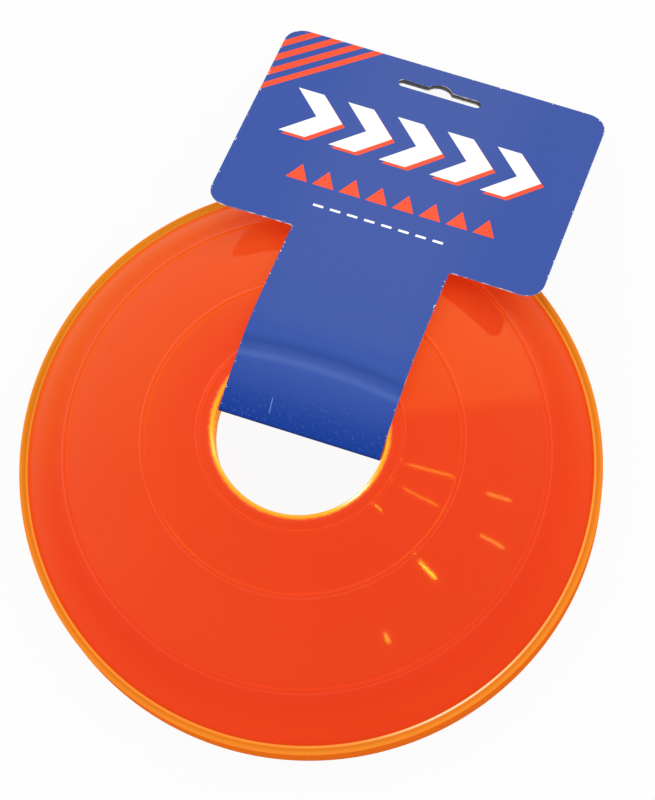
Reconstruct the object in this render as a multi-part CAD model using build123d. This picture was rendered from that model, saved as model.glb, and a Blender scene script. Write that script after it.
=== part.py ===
"""Set of nested saucer marker cones held together by a looped header card.

Millimetres. +Z is up along the axis of the stack, the origin is on that axis at the floor,
and the card's loop and header lie along +Y.
"""
import os
from math import acos, asin, atan2, cos, degrees, hypot, sin, sqrt, tan

from build123d import *

# Cone: one moulded saucer, all four alike
outer_diameter = 228.6
cone_height = 60.0
hole_diameter = 65.0
wall = 1.3
rim_height = 4.0
flange_width = 3.3
rim_edge_round = 0.5
hole_lip_width = 2.3
skirt_width = 20.8
knee_height = 25.9
crown_bulge = 2.33

# Raised rings moulded on the outside of the dome
upper_bead_diameter = 122.0
bead_width = 2.2
bead_rise = 0.6
collar_bead_offset = 4.0
collar_bead_width = 1.6
collar_bead_rise = 0.25
bead_root = 0.3

# Stack
cone_names = ["cone_bottom", "cone_second", "cone_third", "cone_top"]

# Card: one printed T-shaped board, looped through the hole and glued at its header
board = 0.5
glue_film = 0.2
strap_side_clearance = 0.6
header_width = 136.0
header_height = 106.5
shoulder_run = 22.6
header_corner_radius = 7.0
flap_length = 22.0
corner_droop = 3.2
droop_length = 60.0
flap_gap = 0.3
card_clearance = 0.3
fold_past_centre = 2.0
fold_dip = 1.0
fold_run = 8.5
crest_rise = 1.05
crest_setback = 1.3
tail_bend_setback = 10.5
under_rim_inset = 13.3
rim_run_out = 5.2
fold_radius = 20.0
crest_radius = 16.0
dome_bend_radius = 60.0
hole_bend_radius = 8.0
floor_bend_radius = 20.0
tail_bend_radius = 18.0
throat_run = 5.0
throat_drop = 3.0
least_straight = 0.3

# Hang slot through both plies of the header
slot_length = 35.0
slot_width = 4.2
slot_bump_radius = 5.7
slot_height = 7.1
slot_from_top = 13.2

# Glue between the header and the end of the back strap
glue_margin = 3.0
glue_slot_margin = 1.5

rim_radius = outer_diameter / 2
hole_radius = hole_diameter / 2
foot_radius = rim_radius - flange_width
lip_radius = hole_radius + hole_lip_width
knee_radius = rim_radius - skirt_width
strap_width = hole_diameter - 2 * strap_side_clearance
stack_pitch = rim_height
stack_base = board
top_base = stack_base + (len(cone_names) - 1) * stack_pitch
lip_top = top_base + cone_height

# Slope of the dome at the knee, from the crown's straight chord and its bulge over that chord
crown_run = knee_radius - lip_radius
crown_drop = cone_height - knee_height
crown_chord = hypot(crown_run, crown_drop)
knee_slope = atan2(crown_drop, crown_run) + 2 * atan2(2 * crown_bulge, crown_chord)


class DomeArc:
    """Arc of the dome's outer side that leaves the knee at the knee's slope and ends at one point."""

    def __init__(self, end_radius, end_height):
        inward = (-sin(knee_slope), -cos(knee_slope))
        run = (end_radius - knee_radius, end_height - knee_height)
        along = run[0] * inward[0] + run[1] * inward[1]
        self.radius = (run[0] ** 2 + run[1] ** 2) / (2 * along)
        self.centre = (knee_radius + self.radius * inward[0], knee_height + self.radius * inward[1])

    def height(self, radius, depth=0.0):
        """Height of the surface that lies depth under the outer side, at a distance from the axis."""
        return self.centre[1] + sqrt((self.radius - depth) ** 2 - (radius - self.centre[0]) ** 2)

    def reach(self, height, depth=0.0):
        """Distance from the axis at which that surface has a given height."""
        return self.centre[0] + sqrt((self.radius - depth) ** 2 - (height - self.centre[1]) ** 2)

    def edge(self, start, end):
        """Arc about the same centre from one point to another."""
        first = atan2(start[1] - self.centre[1], start[0] - self.centre[0])
        last = atan2(end[1] - self.centre[1], end[0] - self.centre[0])
        size = hypot(start[0] - self.centre[0], start[1] - self.centre[1])
        middle = (first + last) / 2
        through = (self.centre[0] + size * cos(middle), self.centre[1] + size * sin(middle))
        return ThreePointArc(start, through, end)


crown = DomeArc(lip_radius, cone_height)
skirt = DomeArc(foot_radius, rim_height)


def bead(radius, width, rise):
    """Cross-section of a ring that stands on the crown at a distance from the axis."""
    height = crown.height(radius)
    outward = ((radius - crown.centre[0]) / crown.radius, (height - crown.centre[1]) / crown.radius)
    along = (outward[1], -outward[0])

    def place(offset, lift):
        return (radius + offset * along[0] + lift * outward[0], height + offset * along[1] + lift * outward[1])

    low, top, high = place(-width / 2, -bead_root), place(0, rise), place(width / 2, -bead_root)
    return make_face(Curve() + [ThreePointArc(low, top, high), Line(high, low)])


def make_cone():
    """Thin saucer: turned-down rim, flange, domed wall with rings, and a flat lip round the hole."""
    knee = (knee_radius, knee_height)
    knee_inside = (knee_radius - wall * sin(knee_slope), knee_height - wall * cos(knee_slope))
    flange_under = rim_height - wall
    lip_under = cone_height - wall
    foot_inside = (skirt.reach(flange_under, wall), flange_under)
    lip_inside = (crown.reach(lip_under, wall), lip_under)
    rim_inside = rim_radius - wall
    rim_shoulder = rim_radius - rim_edge_round
    round_low = (rim_radius, rim_height - rim_edge_round)
    profile = Curve() + [
        Polyline((rim_inside, 0), (rim_radius, 0), round_low),
        TangentArc(round_low, (rim_shoulder, rim_height), tangent=(0, 1)),
        Line((rim_shoulder, rim_height), (foot_radius, rim_height)),
        skirt.edge((foot_radius, rim_height), knee),
        crown.edge(knee, (lip_radius, cone_height)),
        Polyline((lip_radius, cone_height), (hole_radius, cone_height), (hole_radius, lip_under), lip_inside),
        crown.edge(lip_inside, knee_inside),
        skirt.edge(knee_inside, foot_inside),
        Polyline(foot_inside, (rim_inside, flange_under), (rim_inside, 0)),
    ]
    section = make_face(profile)
    section += bead(knee_radius, bead_width, bead_rise)
    section += bead(upper_bead_diameter / 2, bead_width, bead_rise)
    section += bead(lip_radius + collar_bead_offset, collar_bead_width, collar_bead_rise)
    return revolve(Plane.XZ * section, Axis.Z)


# Side view of the card, as points of distance from the axis and height of the board's middle
fold_point = (-fold_past_centre, lip_top - fold_dip)
lip_over = lip_top + card_clearance + board / 2
crest_point = (lip_radius - crest_setback, lip_over + crest_rise)


def over_ring(radius):
    """Height of the board's middle where it passes over a ring of the top cone."""
    return top_base + crown.height(radius) + bead_rise + 2 * card_clearance + board / 2


dome_point = (upper_bead_diameter / 2, over_ring(upper_bead_diameter / 2))

# The header runs straight from the upper ring to the floor, or over the knee's ring if that is higher
ply_step = board + glue_film
header_rest = ply_step + board / 2
header_reach = shoulder_run + header_height
floor_slope = asin((dome_point[1] - header_rest) / header_reach)
knee_ring_slope = atan2(dome_point[1] - over_ring(knee_radius), knee_radius - dome_point[0])
header_slope = min(floor_slope, knee_ring_slope)
down = (cos(header_slope), -sin(header_slope))
header_end = (dome_point[0] + header_reach * down[0], dome_point[1] + header_reach * down[1])


def on_header(from_top, depth=0.0):
    """Point of the header's straight run, at a distance from its top edge and under its middle."""
    return (
        header_end[0] - from_top * down[0] + depth * down[1],
        header_end[1] - from_top * down[1] - depth * down[0],
    )


floor_level = board / 2
tail_bend = on_header(flap_length + tail_bend_setback, ply_step)
under_hole = (throat_run, stack_base + cone_height - wall - throat_drop)

front_points = [
    fold_point,
    (fold_run, lip_over + card_clearance / 2),
    crest_point,
    dome_point,
    on_header(header_height),
]
front_radii = [fold_radius, crest_radius, dome_bend_radius]
back_points = [
    fold_point,
    under_hole,
    (rim_radius - under_rim_inset, floor_level),
    (rim_radius + rim_run_out, floor_level),
    tail_bend,
    on_header(flap_length + flap_gap / 2, ply_step),
]
back_radii = [hole_bend_radius, floor_bend_radius, floor_bend_radius, tail_bend_radius]


def fit_bends(points, radii):
    """Radii of a route's bends, each limited by the straight runs beside its corner."""
    runs = [(end[0] - start[0], end[1] - start[1]) for start, end in zip(points, points[1:])]
    room = [hypot(*run) / 2 for run in runs]
    room[0] = 2 * room[0] - least_straight
    room[-1] = 2 * room[-1] - least_straight
    fitted = []
    for index, radius in enumerate(radii):
        before, after = runs[index], runs[index + 1]
        cross = before[0] * after[1] - before[1] * after[0]
        turn = abs(atan2(cross, before[0] * after[0] + before[1] * after[1]))
        fitted.append(min(radius, min(room[index], room[index + 1]) / tan(turn / 2)))
    return fitted


def strip(points, radii):
    """Board of the strap's width that follows a route of straight runs and bends."""
    route = Plane.YZ * FilletPolyline(*points, radius=fit_bends(points, radii))
    start = Plane(origin=route @ 0, x_dir=(1, 0, 0), z_dir=route % 0)
    return sweep(start * Rectangle(strap_width, board), path=route)


# Flat frame of the header: X across it, Y down its slope to the top edge, Z out of its front
header_plane = Plane(
    origin=(0, header_end[0], header_end[1]),
    x_dir=(1, 0, 0),
    z_dir=(0, -down[1], down[0]),
)


def panel(width, near, far, depth=0.0):
    """Flat board in the header's frame, between two distances from its top edge."""
    outline = Pos(0, -(near + far) / 2) * Rectangle(width, abs(far - near))
    return extrude(header_plane.offset(-depth) * outline, amount=board / 2, both=True)


def corner_cuts(edge, side):
    """Prisms that round the two corners of the header at one of its ends."""
    cuts = Part()
    for hand in (-1, 1):
        corner = Pos(hand * header_width / 2, -edge)
        size = header_corner_radius
        square = corner * Rectangle(2 * size, 2 * size)
        disc = corner * Pos(-hand * size, side * size) * Circle(size)
        keep = corner * Pos(-hand * 2 * size, 0) * Rectangle(2 * size, 4 * size)
        keep += corner * Pos(0, side * 2 * size) * Rectangle(4 * size, 2 * size)
        cuts += extrude(header_plane * (square - disc - keep), amount=2 * corner_droop, both=True)
    return cuts


def slot_outline(margin=0.0):
    """Hang slot: a long slot with a round bump on the side of the header's top edge."""
    low_edge = slot_from_top + slot_width / 2
    bump_centre = low_edge - (slot_height - slot_bump_radius)
    bump = Pos(0, -bump_centre) * Circle(slot_bump_radius + margin)
    below = Pos(0, -low_edge - margin - slot_height) * Rectangle(slot_length, 2 * slot_height)
    arms = Pos(0, -slot_from_top) * SlotOverall(slot_length + 2 * margin, slot_width + 2 * margin)
    return arms + (bump - below)


def slot_cut(margin=0.0):
    return extrude(header_plane * slot_outline(margin), amount=4 * board, both=True)


def wing_section(from_top, droop):
    """Section across the header: flat over the strap, with wings that curve down to a droop."""
    wing = (header_width - strap_width) / 2
    bend = (wing ** 2 + droop ** 2) / (2 * droop)
    turn = acos(1 - droop / bend)
    root = strap_width / 2

    def on_wing(hand, share, lift):
        reach = bend + lift
        return (hand * (root + reach * sin(share * turn)), bend - reach * cos(share * turn))

    def side(lift):
        left = [on_wing(-1, share, lift) for share in (1, 0.5, 0)]
        right = [on_wing(1, share, lift) for share in (0, 0.5, 1)]
        return left, right

    (a, b, c), (d, e, f) = side(board / 2)
    (g, h, i), (j, k, m) = side(-board / 2)
    edges = [ThreePointArc(a, b, c), Line(c, d), ThreePointArc(d, e, f), Line(f, m)]
    edges += [ThreePointArc(m, k, j), Line(j, i), ThreePointArc(i, h, g), Line(g, a)]
    middle = on_header(from_top)
    across = Plane(origin=(0, middle[0], middle[1]), x_dir=(1, 0, 0), z_dir=(0, down[0], down[1]))
    return across * make_face(Curve() + edges)


def make_front_panel():
    """Lower part of the header: its corners droop over the dome, and it flattens towards the flap."""
    stations = (0, 0.25, 0.5, 0.75, 1)
    flat_droop = 0.05
    sections = []
    for share in stations:
        droop = flat_droop + (corner_droop - flat_droop) * (1 - share) ** 2
        sections.append(wing_section(header_height - share * droop_length, droop))
    lower = loft(sections)
    upper = panel(header_width, flap_length + flap_gap / 2, header_height - droop_length)
    return lower + upper - corner_cuts(header_height, 1)


def make_header():
    """Front ply of the flap, with its rounded top corners and the hang slot."""
    front = panel(header_width, 0, flap_length - flap_gap / 2)
    return front - corner_cuts(0, -1) - slot_cut()


def make_tail():
    """End of the back strap, glued behind the header and punched with the same slot."""
    return panel(strap_width, 0, flap_length - flap_gap / 2, ply_step) - slot_cut()


def make_glue():
    """Film of glue between the header and the tail, clear of the slot."""
    length = flap_length - 2 * glue_margin
    outline = Pos(0, -flap_length / 2) * Rectangle(strap_width - 2 * glue_margin, length)
    outline -= slot_outline(glue_slot_margin)
    return extrude(header_plane.offset(-board / 2 - glue_film) * outline, amount=glue_film)


front_strap = strip(front_points, front_radii)
solids = {
    "card_front_strap": front_strap,
    "card_front_panel": make_front_panel(),
    "card_back_strap": strip(back_points, back_radii) - front_strap,
    "card_header": make_header(),
    "card_tail": make_tail(),
    "card_glue": make_glue(),
}
cone = make_cone()
for level, name in enumerate(cone_names):
    solids[name] = Pos(0, 0, stack_base + level * stack_pitch) * cone

os.makedirs("parts", exist_ok=True)
for name, solid in solids.items():
    export_step(solid, f"parts/{name}.step")

print("header slope", round(degrees(header_slope), 2), "header end", [round(v, 2) for v in header_end])
print("flap hinge", [round(v, 3) for v in on_header(flap_length, -board / 2)])
print("pack height", round(max(solid.bounding_box().max.Z for solid in solids.values()), 2))
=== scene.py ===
import bpy
import numpy as np
from mathutils import Matrix, Vector


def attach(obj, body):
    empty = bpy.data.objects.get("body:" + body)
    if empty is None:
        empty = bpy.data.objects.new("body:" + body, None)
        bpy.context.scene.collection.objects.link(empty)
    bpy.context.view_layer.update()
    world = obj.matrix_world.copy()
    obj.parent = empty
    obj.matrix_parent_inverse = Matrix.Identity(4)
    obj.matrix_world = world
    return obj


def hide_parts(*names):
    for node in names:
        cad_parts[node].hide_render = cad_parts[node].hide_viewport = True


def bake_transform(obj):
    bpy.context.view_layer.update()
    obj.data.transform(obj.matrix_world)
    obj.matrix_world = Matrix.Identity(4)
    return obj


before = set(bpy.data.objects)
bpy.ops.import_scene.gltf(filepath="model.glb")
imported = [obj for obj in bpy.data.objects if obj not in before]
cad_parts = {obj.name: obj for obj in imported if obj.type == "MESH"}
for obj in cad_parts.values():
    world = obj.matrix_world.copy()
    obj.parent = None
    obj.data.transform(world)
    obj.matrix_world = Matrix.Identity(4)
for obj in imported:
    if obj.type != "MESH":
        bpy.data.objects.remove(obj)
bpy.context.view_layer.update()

print("frame loaded, nodes:", len(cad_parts))
mm = 0.001  # every size below is in millimetres, and becomes metres in the mesh


def hexColor(code):
    # sRGB hex to linear: c/12.92 below 0.04045, else ((c+0.055)/1.055)^2.4
    c = np.array([int(code[i:i + 2], 16) for i in (1, 3, 5)]) / 255
    return (*np.where(c <= 0.04045, c / 12.92, ((c + 0.055) / 1.055) ** 2.4).tolist(), 1.0)


def addNode(tree, kind, sockets=None, **settings):
    # one shader node; sockets maps an input's name or number to a value or to another node's output
    made = tree.nodes.new("ShaderNode" + kind)
    for name, value in settings.items():
        setattr(made, name, value)
    for key, value in (sockets or {}).items():
        if isinstance(value, bpy.types.NodeSocket):
            tree.links.new(value, made.inputs[key])
        else:
            made.inputs[key].default_value = value
    return made


def addMath(tree, operation, *terms):
    # output of one Math node, from numbers and other nodes' outputs
    return addNode(tree, "Math", dict(enumerate(terms)), operation=operation).outputs[0]


def addSteps(tree, values, steps):
    # chain of Math nodes: a step is (result, operation, terms), and a term is a number or an earlier result
    for result, operation, *terms in steps:
        values[result] = addMath(tree, operation, *(values.get(term, term) for term in terms))


def nearSteps(tag, offset, reach):
    # steps to tagIn: 1 where the offset is zero, falling evenly to 0 at the reach
    return [(tag + "Dist", "ABSOLUTE", offset), (tag + "Part", "DIVIDE", tag + "Dist", reach),
            (tag + "Gap", "SUBTRACT", 1.0, tag + "Part"), (tag + "In", "MAXIMUM", tag + "Gap", 0.0)]


def riseSteps(tag, value, start, end):
    # steps to tagOn: 0 before the start, 1 past the end, even between them
    return [(tag + "Off", "SUBTRACT", value, start), (tag + "Up", "DIVIDE", tag + "Off", end - start),
            (tag + "Most", "MINIMUM", tag + "Up", 1.0), (tag + "On", "MAXIMUM", tag + "Most", 0.0)]


def addRange(tree, value, span=(0.0, 1.0), result=(0.0, 1.0)):
    # output that carries a span of values over to another range and stays inside it
    sockets = {0: value, 1: span[0], 2: span[1], 3: result[0], 4: result[1]}
    return addNode(tree, "MapRange", sockets).outputs[0]


def addRamp(tree, place, stops):
    # colour ramp read at a place; stops are (place, hex) or (place, three plain numbers)
    made = addNode(tree, "ValToRGB", {0: place})
    elements = made.color_ramp.elements
    while len(elements) < len(stops):
        elements.new(0.5)
    for element, (at, code) in zip(elements, stops):
        element.position = at
        element.color = hexColor(code) if isinstance(code, str) else (*code, 1.0)
    return made.outputs[0]


def addMix(tree, share, first, second, **settings):
    # blend of two colours, each a hex code or another node's output
    first, second = (hexColor(code) if isinstance(code, str) else code for code in (first, second))
    return addNode(tree, "MixRGB", {0: share, 1: first, 2: second}, **settings).outputs[0]


def addNoise(tree, scale, detail):
    # noise over the object's own coordinates, with so many blobs to a metre
    spot = addNode(tree, "TexCoord")
    sockets = {"Vector": spot.outputs["Object"], "Scale": scale, "Detail": detail}
    return addNode(tree, "TexNoise", sockets).outputs["Fac"]


def addPlace(tree, name):
    # a mesh attribute as one vector and as three values
    made = addNode(tree, "Attribute", attribute_name=name)
    parts = addNode(tree, "SeparateXYZ", {0: made.outputs["Vector"]})
    return made.outputs["Vector"], parts.outputs


def newMaterial(name):
    made = bpy.data.materials.new(name)
    made.use_nodes = True
    made.node_tree.nodes.clear()
    return made, made.node_tree


def endMaterial(tree, sockets):
    shader = addNode(tree, "BsdfPrincipled", sockets)
    addNode(tree, "OutputMaterial", {"Surface": shader.outputs[0]})


def putMesh(name, points, quads, materials, slots=None, vectors=None, sharp=None):
    # points in millimetres and quads as whole arrays; slots is one material number per quad, and sharp
    # holds the point pairs of the edges that stay crisp
    mesh = bpy.data.meshes.new(name)
    mesh.vertices.add(len(points))
    mesh.vertices.foreach_set("co", (points * mm).astype(np.float32).ravel())
    mesh.loops.add(quads.size)
    mesh.loops.foreach_set("vertex_index", quads.astype(np.int32).ravel())
    mesh.polygons.add(len(quads))
    mesh.polygons.foreach_set("loop_start", np.arange(0, quads.size, 4, dtype=np.int32))
    for material in materials:
        mesh.materials.append(material)
    if slots is not None:
        mesh.polygons.foreach_set("material_index", slots.astype(np.int32))
    for key, values in (vectors or {}).items():
        column = mesh.attributes.new(key, "FLOAT_VECTOR", "POINT")
        column.data.foreach_set("vector", values.astype(np.float32).ravel())
    mesh.update(calc_edges=True)
    mesh.validate()
    mesh.polygons.foreach_set("use_smooth", np.ones(len(mesh.polygons), bool))
    if sharp is not None:
        pairs = np.empty(len(mesh.edges) * 2, np.int32)
        mesh.edges.foreach_get("vertices", pairs)
        weights = np.array([len(points), 1])
        keys = np.sort(pairs.reshape(-1, 2).astype(np.int64), 1) @ weights
        crisp = np.isin(keys, np.sort(sharp.astype(np.int64), 1) @ weights)
        mesh.attributes.new("sharp_edge", "BOOLEAN", "EDGE").data.foreach_set("value", crisp)
    made = bpy.data.objects.new(name, mesh)
    bpy.context.scene.collection.objects.link(made)
    return made


# Saucer cones: one profile turned round Z, the same for all four
cone = dict(
    rim=114.3, height=60.0, hole=32.5, lip=34.8, wall=1.3, rimHeight=4.0, flange=3.3,
    knee=(93.5, 25.9), kneeSlope=0.66335,
    beads=[(93.5, 2.6, 0.5), (61.0, 2.6, 0.5), (38.8, 1.8, 0.3)],  # radius, width, rise
    beadFlat=0.35,  # share of a bead's half width that is level
    footRound=0.9, footStart=0.75, footReach=0.9,  # where the foot's round starts and ends, as shares of it
    flangeSteps=(0.15, 0.5, 1.0), edgeRound=0.5, lowIn=0.25, lowUp=0.35, outerMid=2.0, innerMid=1.6,
    lipRound=0.55, lipFlat=0.45, lipCrown=0.02, innerGap=0.1, underFoot=0.6, underLip=0.8,
    crownStep=1.6, skirtStep=1.2, around=288,
    base=0.5, pitch=4.0, names=["cone_bottom", "cone_second", "cone_third", "cone_top"],
)


def spaced(stops, step, fineAt=(), fineReach=2.0, fineStep=0.2, leastGap=0.08):
    # values from the first stop to the last, closer together near each place in fineAt
    coarse = np.arange(stops[0], stops[1], step)
    fine = [np.arange(place - fineReach, place + fineReach + 1e-6, fineStep) for place in fineAt]
    merged = np.unique(np.round(np.concatenate([coarse, *fine, np.array(stops)]), 3))
    merged = merged[(merged >= stops[0]) & (merged <= stops[1])]
    return merged[np.concatenate([[True], np.diff(merged) > leastGap])]


def domeArc(end):
    # circle through the knee, tangent to the knee's slope, that ends at one point: radius and centre
    inward = np.array([-np.sin(cone["kneeSlope"]), -np.cos(cone["kneeSlope"])])
    run = np.array(end) - np.array(cone["knee"])
    radius = run @ run / (2 * run @ inward)
    return radius, np.array(cone["knee"]) + radius * inward


def angleAt(arc, r):
    # angle from vertical at which an arc passes a distance from the axis
    radius, centre = arc
    return np.arcsin((r - centre[0]) / radius)


def onArc(arc, angle, depth):
    # points on an arc at angles from vertical, each so deep under its outer side
    radius, centre = arc
    return centre + np.stack([np.sin(angle), np.cos(angle)], -1) * (radius - depth)[..., None]


def corner(centre, radius, first, last, count):
    # quarter-like arc about a centre, angles from vertical
    angle = np.linspace(first, last, count)
    return np.array(centre) + radius * np.stack([np.sin(angle), np.cos(angle)], -1)


def coneProfile():
    # closed (r, z) loop: outer side from the hole to the rim, then the inner side back to the hole
    c = cone
    top, wall, rim, hole, flangeTop = c["height"], c["wall"], c["rim"], c["hole"], c["rimHeight"]
    footAt, inside = rim - c["flange"], rim - wall
    crown, skirt = domeArc((c["lip"], top)), domeArc((footAt, flangeTop))
    lipAngle, kneeAngle, footAngle = angleAt(crown, c["lip"]), c["kneeSlope"], angleAt(skirt, footAt)
    beadArc = [crown[0] * (angleAt(crown, r) - lipAngle) for r, _, _ in c["beads"]]
    length = crown[0] * (kneeAngle - lipAngle)
    along = spaced((0.0, length), c["crownStep"], beadArc)
    lower = spaced((length, length + skirt[0] * (footAngle - kneeAngle)), c["skirtStep"], [length])[1:]
    angle = np.concatenate([lipAngle + along / crown[0], kneeAngle + (lower - length) / skirt[0]])
    run = np.concatenate([along, lower])
    rise = np.zeros_like(run)
    for place, (_, width, height) in zip(beadArc, c["beads"]):
        # bead: level top with cosine flanks
        t = np.clip((np.abs(run - place) / (0.5 * width) - c["beadFlat"]) / (1 - c["beadFlat"]), 0, 1)
        rise += height * 0.5 * (1 + np.cos(np.pi * t))
    onCrown = (run <= length)[:, None]
    outer = np.where(onCrown, onArc(crown, angle, -rise), onArc(skirt, angle, -rise))
    # concave round where the dome meets the flange: the skirt's end is cut off and a curve fills in
    outer = outer[outer[:, 1] > flangeTop + c["footRound"] * c["footStart"]]
    footLow = footAt + c["footRound"] * np.tan(footAngle / 2) * c["footReach"]
    start, tip, end = outer[-1], np.array([footAt, flangeTop]), np.array([footLow, flangeTop])
    bend = np.linspace(0, 1, 7)[1:, None]
    foot = (1 - bend) ** 2 * start + 2 * bend * (1 - bend) * tip + bend ** 2 * end
    flange = np.array([[footLow + step, flangeTop] for step in c["flangeSteps"]])
    er, lr = c["edgeRound"], c["lipRound"]
    edge = corner((rim - er, flangeTop - er), er, 0, np.pi / 2, 7)
    low = np.array([[rim, c["outerMid"]], [rim, c["lowUp"]], [rim - c["lowIn"], 0.0],
                    [inside + c["lowIn"], 0.0], [inside, c["lowUp"]], [inside, c["innerMid"]]])
    lip = np.concatenate([corner((hole + lr, top - wall + lr), lr, -np.pi, -np.pi / 2, 5),
                          corner((hole + lr, top - lr), lr, -np.pi / 2, 0, 6),
                          np.array([[c["lip"] - c["lipFlat"], top + c["lipCrown"]]])])
    inAngle = np.concatenate([np.linspace(footAngle, kneeAngle, 14), np.linspace(kneeAngle, lipAngle, 26)[1:]])
    deep = np.full(len(inAngle), wall)
    onSkirt = (inAngle > kneeAngle)[:, None]
    inner = np.where(onSkirt, onArc(skirt, inAngle, deep), onArc(crown, inAngle, deep))
    height = inner[:, 1]
    inner = inner[(height > flangeTop - wall + c["innerGap"]) & (height < top - wall - c["innerGap"])]
    under = np.array([[inside, flangeTop - wall], [inner[0, 0] + c["underFoot"], flangeTop - wall]])
    seat = np.array([[inner[-1, 0] - c["underLip"], top - wall]])
    # zones: 1 lip, 2 dome, 3 rim, and 0 inside, where none of the painted light by turn angle shows
    sides = [(1, lip), (2, outer), (3, foot), (3, flange), (3, edge), (3, low), (0, under), (0, inner), (0, seat)]
    zone = np.concatenate([np.full(len(side), float(number)) for number, side in sides])
    return np.concatenate([side for _, side in sides]), zone


def turnProfile(loop, baseHeight):
    # x = r cos a, y = r sin a, z = profile height over the base; both directions close on themselves
    a = np.linspace(0, 2 * np.pi, cone["around"], endpoint=False)
    n = len(a)
    points = np.stack([loop[:, :1] * np.cos(a), loop[:, :1] * np.sin(a),
                       np.broadcast_to(loop[:, 1:] + baseHeight, (len(loop), n))], -1)
    i, j = np.meshgrid(np.arange(len(loop)), np.arange(n), indexing="ij")
    ni, nj = (i + 1) % len(loop), (j + 1) % n
    quads = np.stack([i * n + j, ni * n + j, ni * n + nj, i * n + nj], -1)
    return points.reshape(-1, 3), quads.reshape(-1, 4)


plastic = dict(
    # radii of lip, dome and rim, with the share of a colour ramp that each gets, so that narrow lines stay sharp
    bands=[(32.0, 36.0, 0.2), (36.0, 109.5, 0.6), (109.5, 114.5, 0.2)],
    # base colour by radius: the dome's orange-red, with painted light on the lip and the rim flange, yellower where
    # light leaves the thin edges
    dome=[(32.4, "#C8761C"), (32.8, "#E08A1E"), (33.3, "#F09A22"), (33.9, "#EE801C"), (34.3, "#E85E18"),
          (34.7, "#9E2F1C"), (92.0, "#9E2F1C"), (106.0, "#A63918"), (109.9, "#A63716"), (110.4, "#AE3A10"),
          (110.75, "#B4360A"), (110.95, "#E88632"), (111.6, "#E6862E"), (111.9, "#CA6E1C"), (112.6, "#CA701C"),
          (113.2, "#D47E28"), (114.5, "#DA8428")],
    # colour of the rim's outer wall by height, with painted shade dark brown at the bottom where the stacked rims
    # shade each other, and the radii over which it takes over
    wall=[(0.0, "#6A2006"), (0.6, "#B84A0C"), (1.1, "#DC5C12"), (3.0, "#E0641A"), (4.0, "#F0882A")],
    wallSpan=(113.9, 114.2),
    # specular level, roughness and how white the shine is, by radius
    finish=[(32.0, (0.4, 0.08, 0.3)), (35.0, (0.4, 0.08, 0.3)), (36.0, (0.3, 0.065, 0.0)),
            (90.0, (0.3, 0.065, 0.0)), (98.0, (0.03, 0.25, 0.0)), (110.4, (0.03, 0.25, 0.0)),
            (110.8, (0.3, 0.12, 0.0)), (113.4, (0.3, 0.12, 0.0)), (113.9, (0.0, 0.3, 0.0))],
    # painted glow: emission standing in for light the pigment gives back and light leaving the thin edges, strong
    # enough to keep shaded parts red
    glow=[(32.5, "#FFB42C"), (32.7, "#C8740E"), (33.4, "#B4600C"), (34.8, "#DE2204"), (110.0, "#DE2204"),
          (110.4, "#BE2404"), (111.2, "#88420A"), (113.6, "#88420A"), (114.3, "#622204")],
    paintedGlowStrength=0.6,
    # painted highlight as pale lines on a bead's flanks: place and half width as shares of the bead's width
    bead="#F2602A", beadShow=0.1, beadThin=0.4, beadSpan=(32.0, 115.0), flankAt=0.34, flankHalf=0.24,
    sheen="#FF8A14", sheenWeight=0.25, sheenRough=0.35, tint="#FFD830", white="#FFFFFF", ior=1.51,
    cloudMm=55.0, cloudTone=(0.95, 1.04), mottle=(0.75, 1.25), skinMm=1.4, skinShow=0.02, skinDeep=0.0001,
    # painted light by turn angle, each at a turn angle in degrees, so wide and so strong: painted highlight on
    # the lip, painted highlight along the foot, and painted light on the lit side of the skirt and outer dome
    lipHighlightTurns=[(-150.0, 24.0, 0.6), (-31.0, 24.0, 1.0)],
    footHighlightTurns=[(-42.0, 24.0, 0.75), (-20.0, 60.0, 0.4)],
    litSkirtTurns=[(98.0, 72.0, 0.82), (172.0, 46.0, 0.48)],
    # how much of each shows, by radius
    paintedLightByRadius=[(32.55, (0, 0, 0)), (32.85, (1, 0, 0)), (33.5, (1, 0, 0)), (33.9, (0, 0, 0)), (46.0, (0, 0, 0)),
               (60.0, (0, 0, 0.36)), (86.0, (0, 0, 0.43)), (102.0, (0, 0, 0.94)), (110.9, (0, 0, 0.94)),
               (111.05, (0, 1, 0.94)), (111.3, (0, 1, 0.94)), (111.9, (0, 0, 1)), (113.4, (0, 0, 1)),
               (113.7, (0, 0, 0))],
    lipHighlight=[(0.4, "#FFCE3C"), (1.0, "#FFF8E4")], footHighlight=[(0.3, "#FFBE70"), (1.0, "#FFEADA")],
    litSkirt="#9E5E0A",
    # the trimmed lip wanders so far, in patches of this size, and no more past these radii
    ragged=0.5, raggedMm=2.2, lipSpan=(34.6, 36.0),
)


def bandPlace(r):
    # where a radius lies on the colour ramps: each band's share of the way across it, added up
    return sum(share * np.clip((r - low) / (high - low), 0, 1) for low, high, share in plastic["bands"])


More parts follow.
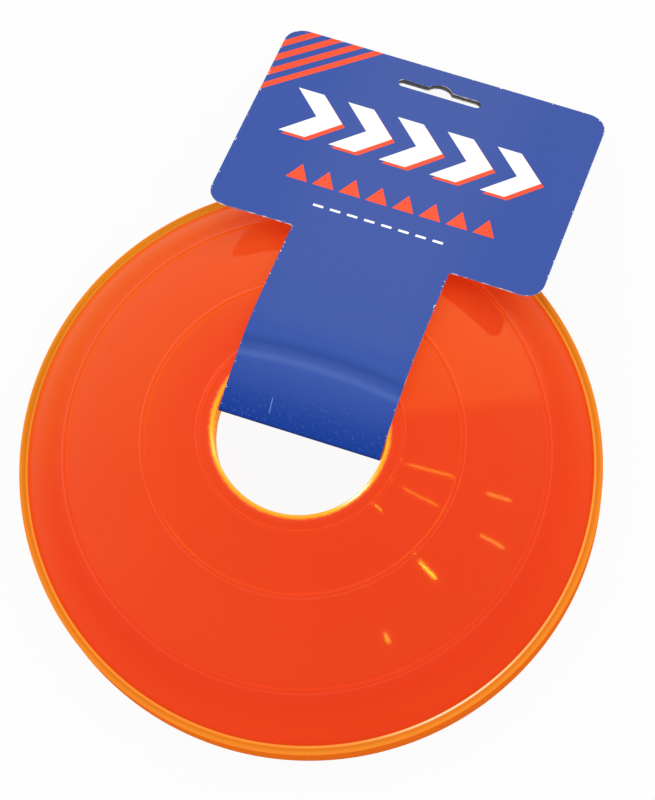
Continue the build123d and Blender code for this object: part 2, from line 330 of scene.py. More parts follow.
def moldedPolyethylene():
    # injection-moulded soft polyethylene with fluorescent orange-red pigment: smooth and glossy, a little
    # see-through; the light that runs out of the lip and the thin rim is painted into their colour as yellower
    # orange
    p = plastic
    made, tree = newMaterial("moldedPolyethylene")
    radius, height, _ = addPlace(tree, "profilePlace")[1]
    nibble = addNoise(tree, 1000 / p["raggedMm"], 2.0)
    sway = addMath(tree, "SUBTRACT", nibble, 0.5)
    atLip = addRange(tree, radius, p["lipSpan"], (2 * p["ragged"], 0.0))
    trimmed = addMath(tree, "MULTIPLY_ADD", sway, atLip, radius)
    shares = [addRange(tree, trimmed, (low, high), (0.0, share)) for low, high, share in p["bands"]]
    spread = addMath(tree, "ADD", addMath(tree, "ADD", *shares[:2]), shares[2])
    byRadius = {key: addRamp(tree, spread, [(bandPlace(r), value) for r, value in p[key]])
                for key in ("dome", "paintedLightByRadius", "finish", "glow")}
    paintedLight, turns = addPlace(tree, "paintedLightTurn")
    # painted highlight: a pale line along each flank of a bead, stronger where the skirt's painted light is
    flanks = sorted((r + side * width * p["flankAt"], p["flankHalf"] * width)
                    for r, width, _ in cone["beads"] for side in (-1, 1))
    low, high = p["beadSpan"]
    span = addRange(tree, radius, p["beadSpan"])
    lines = addRamp(tree, span, [((r + d - low) / (high - low), code) for r, w in flanks
                                 for d, code in ((-w, "#000000"), (0, "#FFFFFF"), (w, "#000000"))])
    clear = addRange(tree, turns[2], result=(p["beadShow"], p["beadThin"]))
    shown = addMath(tree, "MULTIPLY", lines, clear)
    beaded = addMix(tree, shown, byRadius["dome"], p["bead"])
    # the rim's outer wall, with painted shade darker towards its bottom
    rise = addRange(tree, height, (0.0, cone["rimHeight"]))
    wall = addRamp(tree, rise, [(z / cone["rimHeight"], code) for z, code in p["wall"]])
    outside = addRange(tree, radius, p["wallSpan"])
    wallShaded = addMix(tree, outside, beaded, wall)
    # painted highlights on the lip and the foot, and painted light on the lit side of the skirt
    both = addNode(tree, "VectorMath", {0: paintedLight, 1: byRadius["paintedLightByRadius"]}, operation="MULTIPLY")
    onLip, onFoot, onSkirt = addNode(tree, "SeparateXYZ", {0: both.outputs[0]}).outputs
    skirtLit = addMix(tree, onSkirt, wallShaded, p["litSkirt"])
    lipped = addMix(tree, onLip, skirtLit, addRamp(tree, onLip, p["lipHighlight"]))
    edged = addMix(tree, onFoot, lipped, addRamp(tree, onFoot, p["footHighlight"]))
    cloud = addNoise(tree, 1000 / p["cloudMm"], 3.0)
    tone = addRange(tree, cloud, result=p["cloudTone"])
    color = addMix(tree, 1.0, edged, tone, blend_type="MULTIPLY")
    skin = addNoise(tree, 1000 / p["skinMm"], 2.0)
    level, rough, whiteness = addNode(tree, "SeparateColor", {0: byRadius["finish"]}).outputs
    gloss = addMath(tree, "MULTIPLY", rough, addRange(tree, cloud, result=p["mottle"]))
    tint = addMix(tree, whiteness, p["tint"], p["white"])
    bump = addNode(tree, "Bump", {"Height": skin, "Strength": p["skinShow"], "Distance": p["skinDeep"]})
    endMaterial(tree, {
        "Base Color": color, "Roughness": gloss, "Normal": bump.outputs[0],
        "IOR": p["ior"], "Specular IOR Level": level, "Specular Tint": tint,
        "Sheen Weight": p["sheenWeight"], "Sheen Roughness": p["sheenRough"], "Sheen Tint": hexColor(p["sheen"]),
        "Emission Color": byRadius["glow"], "Emission Strength": p["paintedGlowStrength"]})
    return made


def paintedLightTurns(points, zone, isTop):
    # share of painted lip highlight, painted foot highlight and painted skirt light at each point of the outer side,
    # as
    # bells over the turn angle round Z: strength x exp(-2 (angle away / width)^2)
    turn = np.degrees(np.arctan2(points[:, 1], points[:, 0]))

    def bells(turns):
        away = [(turn - at + 180) % 360 - 180 for at, _, _ in turns]
        return sum(share * np.exp(-off ** 2 * 2 / wide ** 2) for off, (_, wide, share) in zip(away, turns))

    shares = [bells(plastic["lipHighlightTurns"]) * isTop, bells(plastic["footHighlightTurns"]), bells(plastic["litSkirtTurns"])]
    return np.clip(np.stack(shares, -1), 0, 1) * (zone > 0)[:, None]


polyethylene = moldedPolyethylene()
profile, zone = coneProfile()
for level, name in enumerate(cone["names"]):
    points, quads = turnProfile(profile, cone["base"] + level * cone["pitch"])
    places = np.repeat(np.column_stack([profile, zone]), cone["around"], axis=0)
    paintedLight = paintedLightTurns(points, places[:, 2], level == len(cone["names"]) - 1)
    vectors = {"profilePlace": places, "paintedLightTurn": paintedLight}
    shell = putMesh(name + "_shell", points, quads, [polyethylene], vectors=vectors)
    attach(shell, name)
    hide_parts(name)
print("cones made, profile points:", len(profile))

# Header card: one T-shaped board that runs from its top edge over the dome, folds at the hole,
# passes under the cones and ends glued behind the header
card = dict(
    board=0.5, strap=31.9, header=68.0, headerHeight=106.5, cornerRound=8.2, shoulderRound=1.0,
    droop=0.6, leastDroop=0.05, droopLength=60.0,
    # corner points of the board's way, as (y, z), and the radius of the bend at each but the ends
    route=[(175.09, 0.95), (61.0, 61.367), (33.5, 74.1), (8.5, 73.2), (-2.0, 71.5), (5.0, 56.2),
           (101.0, 0.25), (119.5, 0.25), (146.041, 15.541), (174.763, 0.331)],
    bends=[60.0, 45.0, 20.0, 0.7, 8.0, 20.0, 20.0, 18.0], bendStep=0.4,
    slotFromTop=13.2, slotArm=15.4, slotEnd=2.1, slotBump=5.7, slotHeight=7.1, tailSlotShift=1.3,
    # spacing of the mesh's rows, and how far each closer spacing reaches
    rowStep=1.5, strapStep=1.0, foldReach=4.0, foldStep=0.15, tailReach=34.0, tailStep=0.8, tailGap=2.5,
    tailEnd=(4.0, 2.0, 0.0), bumpEase=1.6, wingEase=0.8, wingEased=0.97,
    hinge=(155.765, 11.467), down=(0.88374, -0.46799),
)


def routePoints():
    # straight runs joined by tangent arcs: places, directions and distance from the header's top edge
    route = np.array(card["route"])
    heading = np.diff(route, axis=0)
    heading /= np.linalg.norm(heading, axis=1)[:, None]
    places, directions = [route[:1]], [heading[:1]]
    for k, radius in enumerate(card["bends"]):
        before, after, tip = heading[k], heading[k + 1], route[k + 1]
        turn = np.arctan2(before[0] * after[1] - before[1] * after[0], before @ after)
        reach = radius * np.tan(abs(turn) / 2)
        t = np.linspace(0, turn, max(4, int(abs(turn) * radius / card["bendStep"])))
        way = np.stack([np.cos(t) * before[0] - np.sin(t) * before[1],
                        np.sin(t) * before[0] + np.cos(t) * before[1]], -1)
        side = np.array([-before[1], before[0]]) * np.sign(turn)
        sideNow = np.stack([-way[:, 1], way[:, 0]], -1) * np.sign(turn)
        places.append(tip - before * reach + radius * side - radius * sideNow)
        directions.append(way)
    places.append(route[-1:])
    directions.append(heading[-1:])
    places, directions = np.concatenate(places), np.concatenate(directions)
    distance = np.concatenate([[0], np.cumsum(np.linalg.norm(np.diff(places, axis=0), axis=1))])
    return places, directions, distance


def slotHeights():
    # the hang slot's top, its arms' top and its lower edge, from the card's top edge
    c = card
    low = c["slotFromTop"] + c["slotEnd"]
    return low - c["slotHeight"], c["slotFromTop"] - c["slotEnd"], low


def cardRows(total, foldAt):
    # distances from the top edge: close together at corners, slot, bends and fold
    c = card
    h, r = c["headerHeight"], c["cornerRound"]
    slotTop, armTop, low = slotHeights()
    quarter = 1 - np.cos(np.linspace(0, np.pi / 2, 9))
    slot = np.concatenate([slotTop + (armTop - slotTop) * np.linspace(0, 1, 9) ** c["bumpEase"],
                           c["slotFromTop"] - c["slotEnd"] * np.cos(np.linspace(0, np.pi, 13))])
    foldFrom, foldTo, tailFrom = foldAt - c["foldReach"], foldAt + c["foldReach"], total - c["tailReach"]
    rows = np.concatenate([
        r * quarter, slot, np.arange(low, h - r, c["rowStep"]), h - r * quarter,
        h + c["shoulderRound"] * quarter[::2], np.arange(h + c["shoulderRound"], foldFrom, c["strapStep"]),
        np.arange(foldFrom, foldTo, c["foldStep"]), np.arange(foldTo, tailFrom, c["rowStep"]),
        np.arange(tailFrom, total - low - c["tailGap"], c["tailStep"]),
        total - slot - c["tailSlotShift"], total - np.array(c["tailEnd"])])
    rows = np.unique(np.round(rows, 4))
    return rows[np.concatenate([[True], np.diff(rows) > 0.02])]


def cardSheet():
    # a grid of rows down the board and columns across it, with the slot and the T's sides left open;
    # each point is the route's place at its row, moved across by x, and bent down by the wings' arc
    c = card
    hair = 1e-4
    places, directions, distance = routePoints()
    total = distance[-1]
    foldAt = distance[np.argmin(places[:, 0])]
    s = cardRows(total, foldAt)
    # the tail carries the same slot as the header, glued a little off
    fromTop = np.where(s < total / 2, s, total - s - c["tailSlotShift"])
    front = s <= c["headerHeight"] + 1e-6
    slotTop, armTop, low = slotHeights()
    bumpCentre = low - (c["slotHeight"] - c["slotBump"])
    inArm = (fromTop > armTop - hair) & (fromTop < low + hair)
    inBump = (fromTop > slotTop + hair) & (fromTop < armTop + hair)
    armEnd = np.sqrt(np.clip(c["slotEnd"] ** 2 - (fromTop - c["slotFromTop"]) ** 2, 0, None))
    armHalf = c["slotArm"] + np.where(inArm, armEnd, 0.0)
    bumpArc = np.sqrt(np.clip(c["slotBump"] ** 2 - (fromTop - bumpCentre) ** 2, 0, None))
    bumpHalf = np.where(inBump, bumpArc, 0.0)
    r = c["cornerRound"]
    nearEnd = np.clip(r - np.minimum(s, c["headerHeight"] - s), 0, r)
    half = c["header"] - (r - np.sqrt(r * r - nearEnd ** 2))
    past = np.clip((s - c["headerHeight"]) / c["shoulderRound"], 0, 1)
    fillet = np.where(front, c["shoulderRound"] * (np.abs(s - c["headerHeight"]) < hair),
                      c["shoulderRound"] * (1 - np.sqrt(1 - (1 - past) ** 2)))
    strap = c["strap"] + fillet
    # columns of the left half: wing, middle and inner part, then mirrored
    wing, middle, inner = np.linspace(0, 1, 15), np.linspace(0, 1, 9), np.linspace(0, 1, 9)
    nWing = len(wing) - 1
    nMid = nWing + len(middle) - 1
    wing = wing ** c["wingEase"] * c["wingEased"] + (1 - c["wingEased"]) * wing
    left = np.concatenate([
        -half[:, None] + (half - strap)[:, None] * wing,
        (-strap[:, None] + (strap - armHalf)[:, None] * middle)[:, 1:],
        (-armHalf[:, None] + (armHalf - bumpHalf)[:, None] * inner)[:, 1:]], 1)
    x = np.concatenate([left, -left[:, ::-1]], 1)
    nCol, nHalf = x.shape[1], left.shape[1]
    # place, direction and outward normal of each row
    row = np.stack([np.interp(s, distance, places[:, k]) for k in (0, 1)], -1)
    way = np.stack([np.interp(s, distance, directions[:, k]) for k in (0, 1)], -1)
    way /= np.linalg.norm(way, axis=1)[:, None]
    up = np.stack([way[:, 1], -way[:, 0]], -1)
    # wings bend down on an arc that sinks so far at their ends, most at the header's lower edge
    share = np.clip((c["headerHeight"] - s) / c["droopLength"], 0, 1)
    droop = c["leastDroop"] + (c["droop"] - c["leastDroop"]) * (1 - share) ** 2
    wingWidth = c["header"] - c["strap"]
    bend = (wingWidth ** 2 + droop ** 2) / (2 * droop)
    turn = np.arccos(1 - droop / bend)
    over = np.clip((np.abs(x) - c["strap"]) / wingWidth, 0, None) * turn[:, None] * front[:, None]
    lateral = np.where(over > 0, c["strap"] + bend[:, None] * np.sin(over), np.abs(x)) * np.sign(x)
    sink = bend[:, None] * (1 - np.cos(over))
    tilt = np.stack([np.sign(x) * np.sin(over), np.cos(over) * up[:, :1], np.cos(over) * up[:, 1:]], -1)
    middlePoints = np.stack([lateral, row[:, :1] - sink * up[:, :1], row[:, 1:] - sink * up[:, 1:]], -1)
    # number the points; the two centre columns are one where nothing parts them
    index = np.arange(len(s) * nCol).reshape(len(s), nCol)
    joined = bumpHalf == 0
    index[joined, nHalf] = index[joined, nHalf - 1]
    rowMid = (s[:-1] + s[1:]) / 2
    topMid = np.where(rowMid < total / 2, rowMid, total - rowMid - c["tailSlotShift"])
    inHeader, inSlotArm = rowMid < c["headerHeight"], (topMid > armTop) & (topMid < low)
    column = np.minimum(np.arange(nCol - 1), nCol - 2 - np.arange(nCol - 1))
    keep = np.ones((len(s) - 1, nCol - 1), bool)
    keep &= inHeader[:, None] | (column >= nWing)[None]
    keep &= ~(inSlotArm[:, None] & (column >= nMid)[None])
    keep[:, nHalf - 1] = False
    i, j = np.nonzero(keep)
    faces = np.stack([index[i, j], index[i + 1, j], index[i + 1, j + 1], index[i, j + 1]], -1)
    used, faces = np.unique(faces, return_inverse=True)
    faces = faces.reshape(-1, 4)
    mid, normal = middlePoints.reshape(-1, 3)[used], tilt.reshape(-1, 3)[used]
    # flat place on the board for the print: across, down, and the gap to the nearest cut edge
    across, below = np.abs(x), c["headerHeight"] - s[:, None]
    gap = np.where(front[:, None], np.minimum(half[:, None] - across, s[:, None]), strap[:, None] - across)
    gap = np.where(front[:, None] & (across > c["strap"]), np.minimum(gap, below), gap)
    sheet = np.stack([x, np.broadcast_to(s[:, None], x.shape), gap], -1).reshape(-1, 3)[used]
    return mid, normal, faces, sheet, foldAt, total


def cardShell():
    # front and back sides half a board from the middle, and walls along every open edge
    mid, normal, faces, sheet, foldAt, total = cardSheet()
    n, lift = len(mid), card["board"] / 2
    points = np.concatenate([mid + normal * lift, mid - normal * lift])
    a, b = faces.ravel(), np.roll(faces, -1, axis=1).ravel()
    isOpen = ~np.isin(a.astype(np.int64) * n + b, b.astype(np.int64) * n + a)
    a, b = a[isOpen], b[isOpen]
    walls = np.stack([b, a, a + n, b + n], -1)
    quads = np.concatenate([faces, faces[:, ::-1] + n, walls])
    slots = np.repeat([0, 1, 2], [len(faces), len(faces), len(walls)])
    crisp = np.concatenate([np.stack([a, b], -1), np.stack([a, b], -1) + n])
    return points, quads, slots, np.concatenate([sheet, sheet]), crisp, foldAt, total


ink = dict(
    # the fold and crease blues are painted shade: the strap darker near the fold and darker still in the crease
    blue="#1B439B", foldShadeBlue="#00318A", foldTone=24.0, creaseShadeBlue="#0A2A70", creaseReach=0.9,
    white="#EFF2F9", red="#EE4420", worn="#5A74BC", chip="#E9E9E6",
    # the ridge is a painted highlight: a lighter bowed line on the bend over the lip
    ridgeFromFold=25.7, ridgeBow=2.2, ridgeHalf=2.1, ridgeShow=0.26,
    # the hollow is painted shade: a darker band before the ridge
    hollowFromFold=31.2, hollowHalf=4.0, hollowShow=0.34, hollowDull=0.5,
    coatWorn=0.1, coat=0.36, wingFrom=24.0, wingTo=44.0, wingDull=0.25,
    scratchAcross=-13.3, scratchFromFold=7.5, scratchLong=3.0, scratchHalf=0.22, scratchLean=-0.08,
    # generic print: arrowheads with a shade, small triangles, a dashed line and corner stripes
    arrowRow=46.0, arrowHalf=13.0, arrowStep=21.0, arrowShare=0.52, arrowReach=52.0, arrowLean=0.9, shade=1.5,
    coneRow=78.0, coneHalf=4.5, coneStep=11.0, coneReach=44.0, coneFoot=0.4,
    lineRow=93.0, lineHalf=0.6, dashStep=7.0, dashShare=0.6, lineReach=28.0,
    stripeStep=9.0, stripeShare=0.5, stripeReach=40.0,
    # rubbing and chips: noise above a level shows, so much stronger and at most so strong
    scuffAcrossMm=0.4, scuffAlongMm=0.8, scuffReach=26.0, scuffLeast=0.04, streakScale=0.5, streakRough=0.7,
    patchScale=0.11, rubLevel=0.56, rubGain=8.0, rubMost=0.8, chipMm=1.2, chipLevel=0.7, chipReach=0.6,
    gloss=(0.3, 0.6), grainShow=0.05, grainDeep=0.0001, ior=1.5,
    # colours laid over the blue one by one, each through its mask
    # the ridge's painted highlight takes the worn colour, the hollow's and crease's painted shade the crease colour
    layers=[("red", "red"), ("pale", "white"), ("hollowShade", "creaseShadeBlue"), ("ridgeHighlight", "worn"), ("rubbed", "worn"),
            ("scratch", "worn"), ("creaseIn", "creaseShadeBlue"), ("chips", "chip")],
)


def arrowSteps(tag, shift):
    # arrowheads: stripes of across + lean x |down - row|, cut to a band and a reach
    k = ink
    return [
        (tag + "X", "SUBTRACT", "across", shift), (tag + "Y", "SUBTRACT", "down", k["arrowRow"] + shift),
        (tag + "Off", "ABSOLUTE", tag + "Y"), (tag + "Band", "LESS_THAN", tag + "Off", k["arrowHalf"]),
        (tag + "Slant", "MULTIPLY_ADD", tag + "Off", k["arrowLean"], tag + "X"),
        (tag + "Turn", "DIVIDE", tag + "Slant", k["arrowStep"]), (tag + "Part", "FRACT", tag + "Turn"),
        (tag + "On", "LESS_THAN", tag + "Part", k["arrowShare"]), (tag + "Size", "ABSOLUTE", tag + "Slant"),
        (tag + "Near", "LESS_THAN", tag + "Size", k["arrowReach"]),
        (tag + "Both", "MULTIPLY", tag + "Band", tag + "On"), (tag, "MULTIPLY", tag + "Both", tag + "Near")]


def printSteps():
    # masks of the generic print, from across and down in millimetres: "red" and "pale"
    k = ink
    return [
        *arrowSteps("arrow", 0.0), *arrowSteps("shade", k["shade"]), ("reach", "ABSOLUTE", "across"),
        # small triangles in a row: |across in its cell| < (down - top) x foot
        ("coneCell", "DIVIDE", "across", k["coneStep"]), ("conePart", "FRACT", "coneCell"),
        ("coneMid", "SUBTRACT", "conePart", 0.5), ("coneSide", "ABSOLUTE", "coneMid"),
        ("coneTop", "SUBTRACT", "down", k["coneRow"] - k["coneHalf"]),
        ("coneWide", "MULTIPLY", "coneTop", k["coneFoot"] / (2 * k["coneHalf"])),
        ("coneIn", "LESS_THAN", "coneSide", "coneWide"), ("coneLow", "LESS_THAN", "coneTop", 2 * k["coneHalf"]),
        ("coneNear", "LESS_THAN", "reach", k["coneReach"]), ("coneBoth", "MULTIPLY", "coneIn", "coneLow"),
        ("cones", "MULTIPLY", "coneBoth", "coneNear"),
        # dashed line
        ("lineOff", "SUBTRACT", "down", k["lineRow"]), ("lineDist", "ABSOLUTE", "lineOff"),
        ("lineIn", "LESS_THAN", "lineDist", k["lineHalf"]), ("dashCell", "DIVIDE", "across", k["dashStep"]),
        ("dashPart", "FRACT", "dashCell"), ("dashIn", "LESS_THAN", "dashPart", k["dashShare"]),
        ("lineNear", "LESS_THAN", "reach", k["lineReach"]), ("dashBoth", "MULTIPLY", "lineIn", "dashIn"),
        ("dashes", "MULTIPLY", "dashBoth", "lineNear"),
        # corner stripes: bands of across + down from the top left corner
        ("diagonal", "ADD", "across", "down"), ("fromCorner", "ADD", "diagonal", card["header"]),
        ("stripeCell", "DIVIDE", "fromCorner", k["stripeStep"]), ("stripePart", "FRACT", "stripeCell"),
        ("stripeIn", "LESS_THAN", "stripePart", k["stripeShare"]),
        ("stripeNear", "LESS_THAN", "fromCorner", k["stripeReach"]),
        ("stripes", "MULTIPLY", "stripeIn", "stripeNear"),
        ("redBoth", "MAXIMUM", "shade", "cones"), ("red", "MAXIMUM", "redBoth", "stripes"),
        ("pale", "MAXIMUM", "arrow", "dashes")]


def wearSteps(foldAt):
    # masks of painted fold shade, rubbing, painted ridge highlight and hollow shade, scratch and chips, and the
    # gloss coat's strength
    k = ink
    return [
        # painted shade: the blue is darker near the fold, and darker still in the crease
        ("foldOff", "SUBTRACT", "down", foldAt), *nearSteps("crease", "foldOff", k["creaseReach"]),
        ("toneOff", "DIVIDE", "creaseDist", k["foldTone"]), ("tone", "MINIMUM", "toneOff", 1.0),
        # rubbing: strongest at the fold, in streaks that run along the strap
        ("foldPart", "DIVIDE", "creaseDist", k["scuffReach"]), ("nearFold", "SUBTRACT", 1.0, "foldPart"),
        ("worn", "MAXIMUM", "nearFold", k["scuffLeast"]), ("rubHigh", "SUBTRACT", "streak", k["rubLevel"]),
        ("rubUp", "MULTIPLY", "rubHigh", k["rubGain"]), ("rubPatch", "MULTIPLY", "rubUp", "patch"),
        ("rubPos", "MAXIMUM", "rubPatch", 0.0), ("rub", "MULTIPLY", "rubPos", "worn"),
        ("rubbed", "MINIMUM", "rub", k["rubMost"]),
        # ridge: painted highlight, a soft bowed lighter line where the strap has bent over the lip
        ("bow", "MULTIPLY", "across", "across"), ("bowed", "MULTIPLY", "bow", k["ridgeBow"] / card["strap"] ** 2),
        ("ridgeAt", "SUBTRACT", "foldOff", "bowed"), ("ridgeOff", "ADD", "ridgeAt", k["ridgeFromFold"]),
        *nearSteps("ridgeHighlight", "ridgeOff", k["ridgeHalf"]), ("ridgeHighlight", "MULTIPLY", "ridgeHighlightIn", k["ridgeShow"]),
        # hollow before the ridge: painted shade, a darker band, and duller
        ("hollowOff", "ADD", "ridgeAt", k["hollowFromFold"]), *nearSteps("hollowShade", "hollowOff", k["hollowHalf"]),
        ("hollowShade", "MULTIPLY", "hollowShadeIn", k["hollowShow"]),
        # gloss coat: worn thin at the fold, dull in the hollow and a little on the header's wings
        ("coatLeft", "MULTIPLY_ADD", "tone", k["coat"] - k["coatWorn"], k["coatWorn"]),
        ("shiny", "MULTIPLY_ADD", "hollowShadeIn", -k["hollowDull"], 1.0), ("coatMid", "MULTIPLY", "coatLeft", "shiny"),
        *riseSteps("wing", "reach", k["wingFrom"], k["wingTo"]),
        ("wingShiny", "MULTIPLY_ADD", "wingOn", -k["wingDull"], 1.0), ("coat", "MULTIPLY", "coatMid", "wingShiny"),
        # one short scratch along the strap
        ("scratchX", "SUBTRACT", "across", k["scratchAcross"]), ("scratchY", "ADD", "foldOff", k["scratchFromFold"]),
        ("scratchSlant", "MULTIPLY_ADD", "scratchY", k["scratchLean"], "scratchX"),
        ("scratchSide", "ABSOLUTE", "scratchSlant"), ("scratchIn", "LESS_THAN", "scratchSide", k["scratchHalf"]),
        ("scratchEnd", "ABSOLUTE", "scratchY"), ("scratchNear", "LESS_THAN", "scratchEnd", k["scratchLong"]),
        ("scratch", "MULTIPLY", "scratchIn", "scratchNear"),
        # chips: bare core where a spot of noise meets the cut edge
        ("edgeIn", "LESS_THAN", "gap", k["chipReach"]), ("chipIn", "GREATER_THAN", "chip", k["chipLevel"]),
        ("chips", "MULTIPLY", "edgeIn", "chipIn")]


def printedBoard(foldAt):
    # clay-coated board printed blue, orange-red and white: flat ink under a thin gloss coat, paler where it
    # has been rubbed near the fold and along edges where the coat has chipped off, with painted shade near
    # the fold and a painted highlight on the ridge over the lip
    k = ink
    made, tree = newMaterial("printedBoard")
    place, parts = addPlace(tree, "sheetPlace")
    scuffs = (1 / k["scuffAcrossMm"], 1 / k["scuffAlongMm"], 0.0)
    stretched = addNode(tree, "Mapping", {"Vector": place, "Scale": scuffs}).outputs[0]
    noises = dict(
        streak={"Vector": stretched, "Scale": k["streakScale"], "Detail": 4.0, "Roughness": k["streakRough"]},
        patch={"Vector": place, "Scale": k["patchScale"], "Detail": 2.0},
        chip={"Vector": place, "Scale": 1 / k["chipMm"], "Detail": 1.0})
    v = {key: addNode(tree, "TexNoise", sockets).outputs["Fac"] for key, sockets in noises.items()}
    v.update(across=parts[0], down=parts[1], gap=parts[2])
    addSteps(tree, v, printSteps() + wearSteps(foldAt))
    color = addMix(tree, v["tone"], k["foldShadeBlue"], k["blue"])
    for mask, code in k["layers"]:
        color = addMix(tree, v[mask], color, k[code])
    gloss = addRange(tree, v["rubbed"], result=k["gloss"])
    bump = addNode(tree, "Bump", {"Height": v["streak"], "Strength": k["grainShow"], "Distance": k["grainDeep"]})
    endMaterial(tree, {"Base Color": color, "Roughness": gloss, "Normal": bump.outputs[0],
                       "IOR": k["ior"], "Specular IOR Level": v["coat"]})
    return made


# colours of bare board and glue, with blobs to a metre: fibres of 1.1 mm, plies of 0.7, drags of 4.5, clouds of 4
back = dict(fibre=900.0, fibres=[(0.3, "#D2CFC6"), (0.7, "#E8E6E0")], rough=0.85, ior=1.45,
            # painted shade: dark brown on the inner face between the plies round the slot
            slotShade="#2A2012", slotShadeReach=(7.0, 10.0), slotShadeShow=(0.95, 0.0))
cut = dict(ply=1500.0, plies=[(0.3, "#C9CBD6"), (0.65, "#F4F3F0")], rough=0.8, ior=1.45,
           drag=220.0, inked="#3C58A6", dragSpan=(0.5, 0.6), dragShow=(0.85, 0.0))
glue = dict(cloud=250.0, clouds=[(0.3, "#D9CFB4"), (0.7, "#EDE6D2")], rough=0.45, ior=1.48)


def boardBack(total):
    # uncoated white back of the board: matt, with fine fibres, and painted shade, dark brown, between the plies
    # round the slot
    made, tree = newMaterial("whiteBoardBack")
    down = addPlace(tree, "sheetPlace")[1][1]
    slotAt = total - card["tailSlotShift"] - card["slotFromTop"]
    apart = addMath(tree, "ABSOLUTE", addMath(tree, "SUBTRACT", down, slotAt))
    slotShade = addRange(tree, apart, back["slotShadeReach"], back["slotShadeShow"])
    fibres = addRamp(tree, addNoise(tree, back["fibre"], 4.0), back["fibres"])
    color = addMix(tree, slotShade, fibres, back["slotShade"])
    endMaterial(tree, {"Base Color": color, "Roughness": back["rough"], "IOR": back["ior"]})
    return made


def boardEdge():
    # die-cut edge: bare white paper core, with ink dragged over most of it by the knife
    made, tree = newMaterial("cutBoardEdge")
    plies = addRamp(tree, addNoise(tree, cut["ply"], 2.0), cut["plies"])
    inked = addRange(tree, addNoise(tree, cut["drag"], 3.0), cut["dragSpan"], cut["dragShow"])
    color = addMix(tree, inked, plies, cut["inked"])
    endMaterial(tree, {"Base Color": color, "Roughness": cut["rough"], "IOR": cut["ior"]})
    return made


def glueFilm():
    # dried hot-melt film: cloudy, cream and waxy
    made, tree = newMaterial("driedGlueFilm")
    clouds = addRamp(tree, addNoise(tree, glue["cloud"], 2.0), glue["clouds"])
    endMaterial(tree, {"Base Color": clouds, "Roughness": glue["rough"], "IOR": glue["ior"]})
    return made


points, quads, slots, sheet, crisp, foldAt, total = cardShell()
board = putMesh("header_card", points, quads, [printedBoard(foldAt), boardBack(total), boardEdge()], slots,
                {"sheetPlace": sheet}, crisp)
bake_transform(board)
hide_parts("card_front_strap", "card_front_panel", "card_back_strap", "card_header", "card_tail")
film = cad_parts["card_glue"]
film.data.materials.clear()
film.data.materials.append(glueFilm())
print("card made, length along the board:", round(float(total), 1), "fold at", round(float(foldAt), 1))

# Floor, light and camera
stage = dict(floor="#D4D4D4", floorHalf=3000.0, floorDrop=0.3, white="#FFFFFF", wall="#FFF0D2",
             ownLight=0.94, mirrorShare=0.8, dim=0.97, bright=1.68, edgeTurn=42.5, edgeSoft=0.07, edgeRound=0.3,
             topFrom=0.64, topTo=0.80, leftFade=0.95, rightFrom=0.2, rightTo=0.38, rightGain=1.05,
             fill=0.37, fillFrom=(-0.8, -0.4, 0.45))


def whiteFloor():
    # seamless white paper; the eye and mirrors see it near white, and it still takes the object's shadow
    made, tree = newMaterial("whitePaperFloor")
    matt = addNode(tree, "BsdfDiffuse", {"Color": hexColor(stage["floor"])})
    glow = addNode(tree, "Emission", {"Color": hexColor(stage["white"]), "Strength": 1.0})
    path = addNode(tree, "LightPath").outputs
    mirror = addMath(tree, "MULTIPLY", path["Is Glossy Ray"], stage["mirrorShare"])
    direct = addMath(tree, "MAXIMUM", path["Is Camera Ray"], path["Is Transmission Ray"])
    part = addMath(tree, "MULTIPLY", addMath(tree, "MAXIMUM", direct, mirror), stage["ownLight"])
    mix = addNode(tree, "MixShader", {0: part, 1: matt.outputs[0], 2: glow.outputs[0]})
    addNode(tree, "OutputMaterial", {"Surface": mix.outputs[0]})
    return made


side, below = stage["floorHalf"], -stage["floorDrop"]
corners = np.array([[-side, -side, below], [side, -side, below], [side, side, below], [-side, side, below]])
floor = putMesh("floor", corners, np.array([[0, 1, 2, 3]]), [whiteFloor()])

world = bpy.data.worlds.new("studio")
bpy.context.scene.world = world
world.use_nodes = True
world.node_tree.nodes.clear()


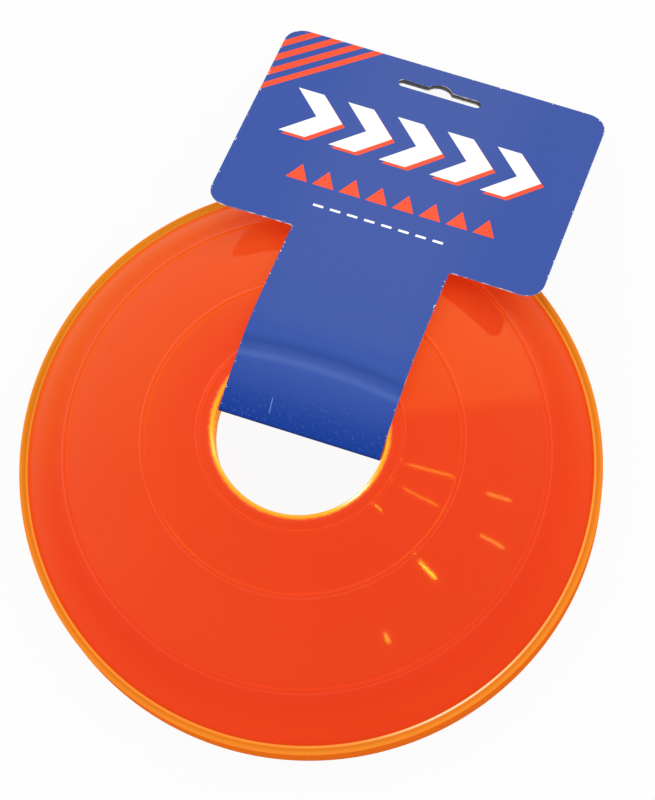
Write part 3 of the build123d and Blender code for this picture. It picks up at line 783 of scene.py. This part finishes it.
def studioWalls(tree):
    # a dim room with a bright far wall, which starts softly at one turn angle on the right, is brightest there,
    # thins out to the left and ends below the ceiling; a soft glow fills in from the near left, and straight
    # to the eye the room is plain white
    g = stage
    turn = np.radians(g["edgeTurn"])
    heading = addNode(tree, "TexCoord")
    parts = addNode(tree, "SeparateXYZ", {0: heading.outputs["Generated"]}).outputs
    eye = addNode(tree, "LightPath").outputs["Is Camera Ray"]
    v = {"x": parts[0], "y": parts[1], "z": parts[2], "eye": eye}
    addSteps(tree, v, [
        ("xPart", "MULTIPLY", "x", -np.sin(turn)), ("side", "MULTIPLY_ADD", "y", np.cos(turn), "xPart"),
        ("edgeUp", "DIVIDE", "side", g["edgeSoft"]), ("edge", "SMOOTH_MIN", "edgeUp", 1.0, g["edgeRound"]),
        ("edgeOn", "MAXIMUM", "edge", 0.0), ("leftX", "MULTIPLY", "x", -g["leftFade"]),
        ("leftOn", "MAXIMUM", "leftX", 0.0), ("fade", "SUBTRACT", 1.0, "leftOn"),
        *riseSteps("top", "z", g["topTo"], g["topFrom"]), *riseSteps("right", "x", g["rightFrom"], g["rightTo"]),
        ("share", "MULTIPLY_ADD", "rightOn", g["rightGain"], "fade"),
        ("lit", "MULTIPLY", "edgeOn", "share"), ("wall", "MULTIPLY", "lit", "topOn"),
        ("room", "MULTIPLY_ADD", "wall", g["bright"] - g["dim"], g["dim"]),
        ("nearX", "MULTIPLY", "x", g["fillFrom"][0]), ("nearXY", "MULTIPLY_ADD", "y", g["fillFrom"][1], "nearX"),
        ("near", "MULTIPLY_ADD", "z", g["fillFrom"][2], "nearXY"), ("nearOn", "MAXIMUM", "near", 0.0),
        ("soft", "MULTIPLY", "nearOn", "nearOn"), ("level", "MULTIPLY_ADD", "soft", g["fill"], "room"),
        ("notEye", "SUBTRACT", 1.0, "eye"), ("warmth", "MULTIPLY", "wall", "notEye")])
    level = addNode(tree, "Mix", {0: eye, 2: v["level"], 3: 1.0})
    hue = addMix(tree, v["warmth"], g["white"], g["wall"])
    sky = addNode(tree, "Background", {"Color": hue, "Strength": level.outputs[0]})
    addNode(tree, "OutputWorld", {"Surface": sky.outputs[0]})


studioWalls(world.node_tree)

lamps = dict(
    farStrip=dict(at=(-205, 546, 1500), aim=(0, 40, 60), size=(1000, 110), radiance=4.0),
    # small ceiling strips, hung where the dome mirrors them as short radial glints
    stripA=dict(at=(694, 209, 660), aim=(60, 5, 60), size=(8, 170), radiance=20.0),
    stripB=dict(at=(698, 33, 689), aim=(60, 5, 60), size=(7, 140), radiance=18.0),
    stripC=dict(at=(565, -167, 783), aim=(40, -10, 60), size=(12, 46), radiance=22.0),
    stripD=dict(at=(853, 217, 452), aim=(80, 10, 50), size=(8, 94), radiance=21.0),
    stripE=dict(at=(884, 8, 452), aim=(80, 0, 50), size=(8, 100), radiance=21.0),
    stripG=dict(at=(737, -287, 593), aim=(60, -30, 55), size=(16, 84), radiance=46.0),
    stripH=dict(at=(581, -623, 513), aim=(55, -60, 50), size=(12, 38), radiance=36.0),
)


def addLamp(name, at, aim, size, radiance):
    # area lamp whose power gives a stated radiance: watts = radiance x pi x area
    data = bpy.data.lights.new(name, "AREA")
    data.shape = "RECTANGLE"
    data.size, data.size_y = size[0] * mm, size[1] * mm
    data.energy = radiance * np.pi * data.size * data.size_y
    made = bpy.data.objects.new(name, data)
    made.location = Vector(at) * mm
    made.rotation_mode = "QUATERNION"
    made.rotation_quaternion = (Vector(aim) - Vector(at)).to_track_quat("-Z", "Y")
    bpy.context.scene.collection.objects.link(made)


for name, lamp in lamps.items():
    addLamp(name, **lamp)

camera = dict(at=(164.19, -244.21, 1231.6), aim=(-1.46, 26.45, 16.5), roll=-13.352, lens=144.0, sensor=36.0,
              near=10.0, far=50000.0)
eye = bpy.data.objects.new("camera", bpy.data.cameras.new("camera"))
bpy.context.scene.collection.objects.link(eye)
eye.data.sensor_width, eye.data.lens = camera["sensor"], camera["lens"]
eye.data.clip_start, eye.data.clip_end = camera["near"] * mm, camera["far"] * mm
look = (Vector(camera["aim"]) - Vector(camera["at"])).to_track_quat("-Z", "Y").to_matrix().to_4x4()
aimed = Matrix.Translation(Vector(camera["at"]) * mm) @ look
eye.matrix_world = aimed @ Matrix.Rotation(np.radians(camera["roll"]), 4, "Z")
bpy.context.scene.camera = eye
bpy.context.scene.view_settings.view_transform = "Standard"
print("stage, lamps and camera set")
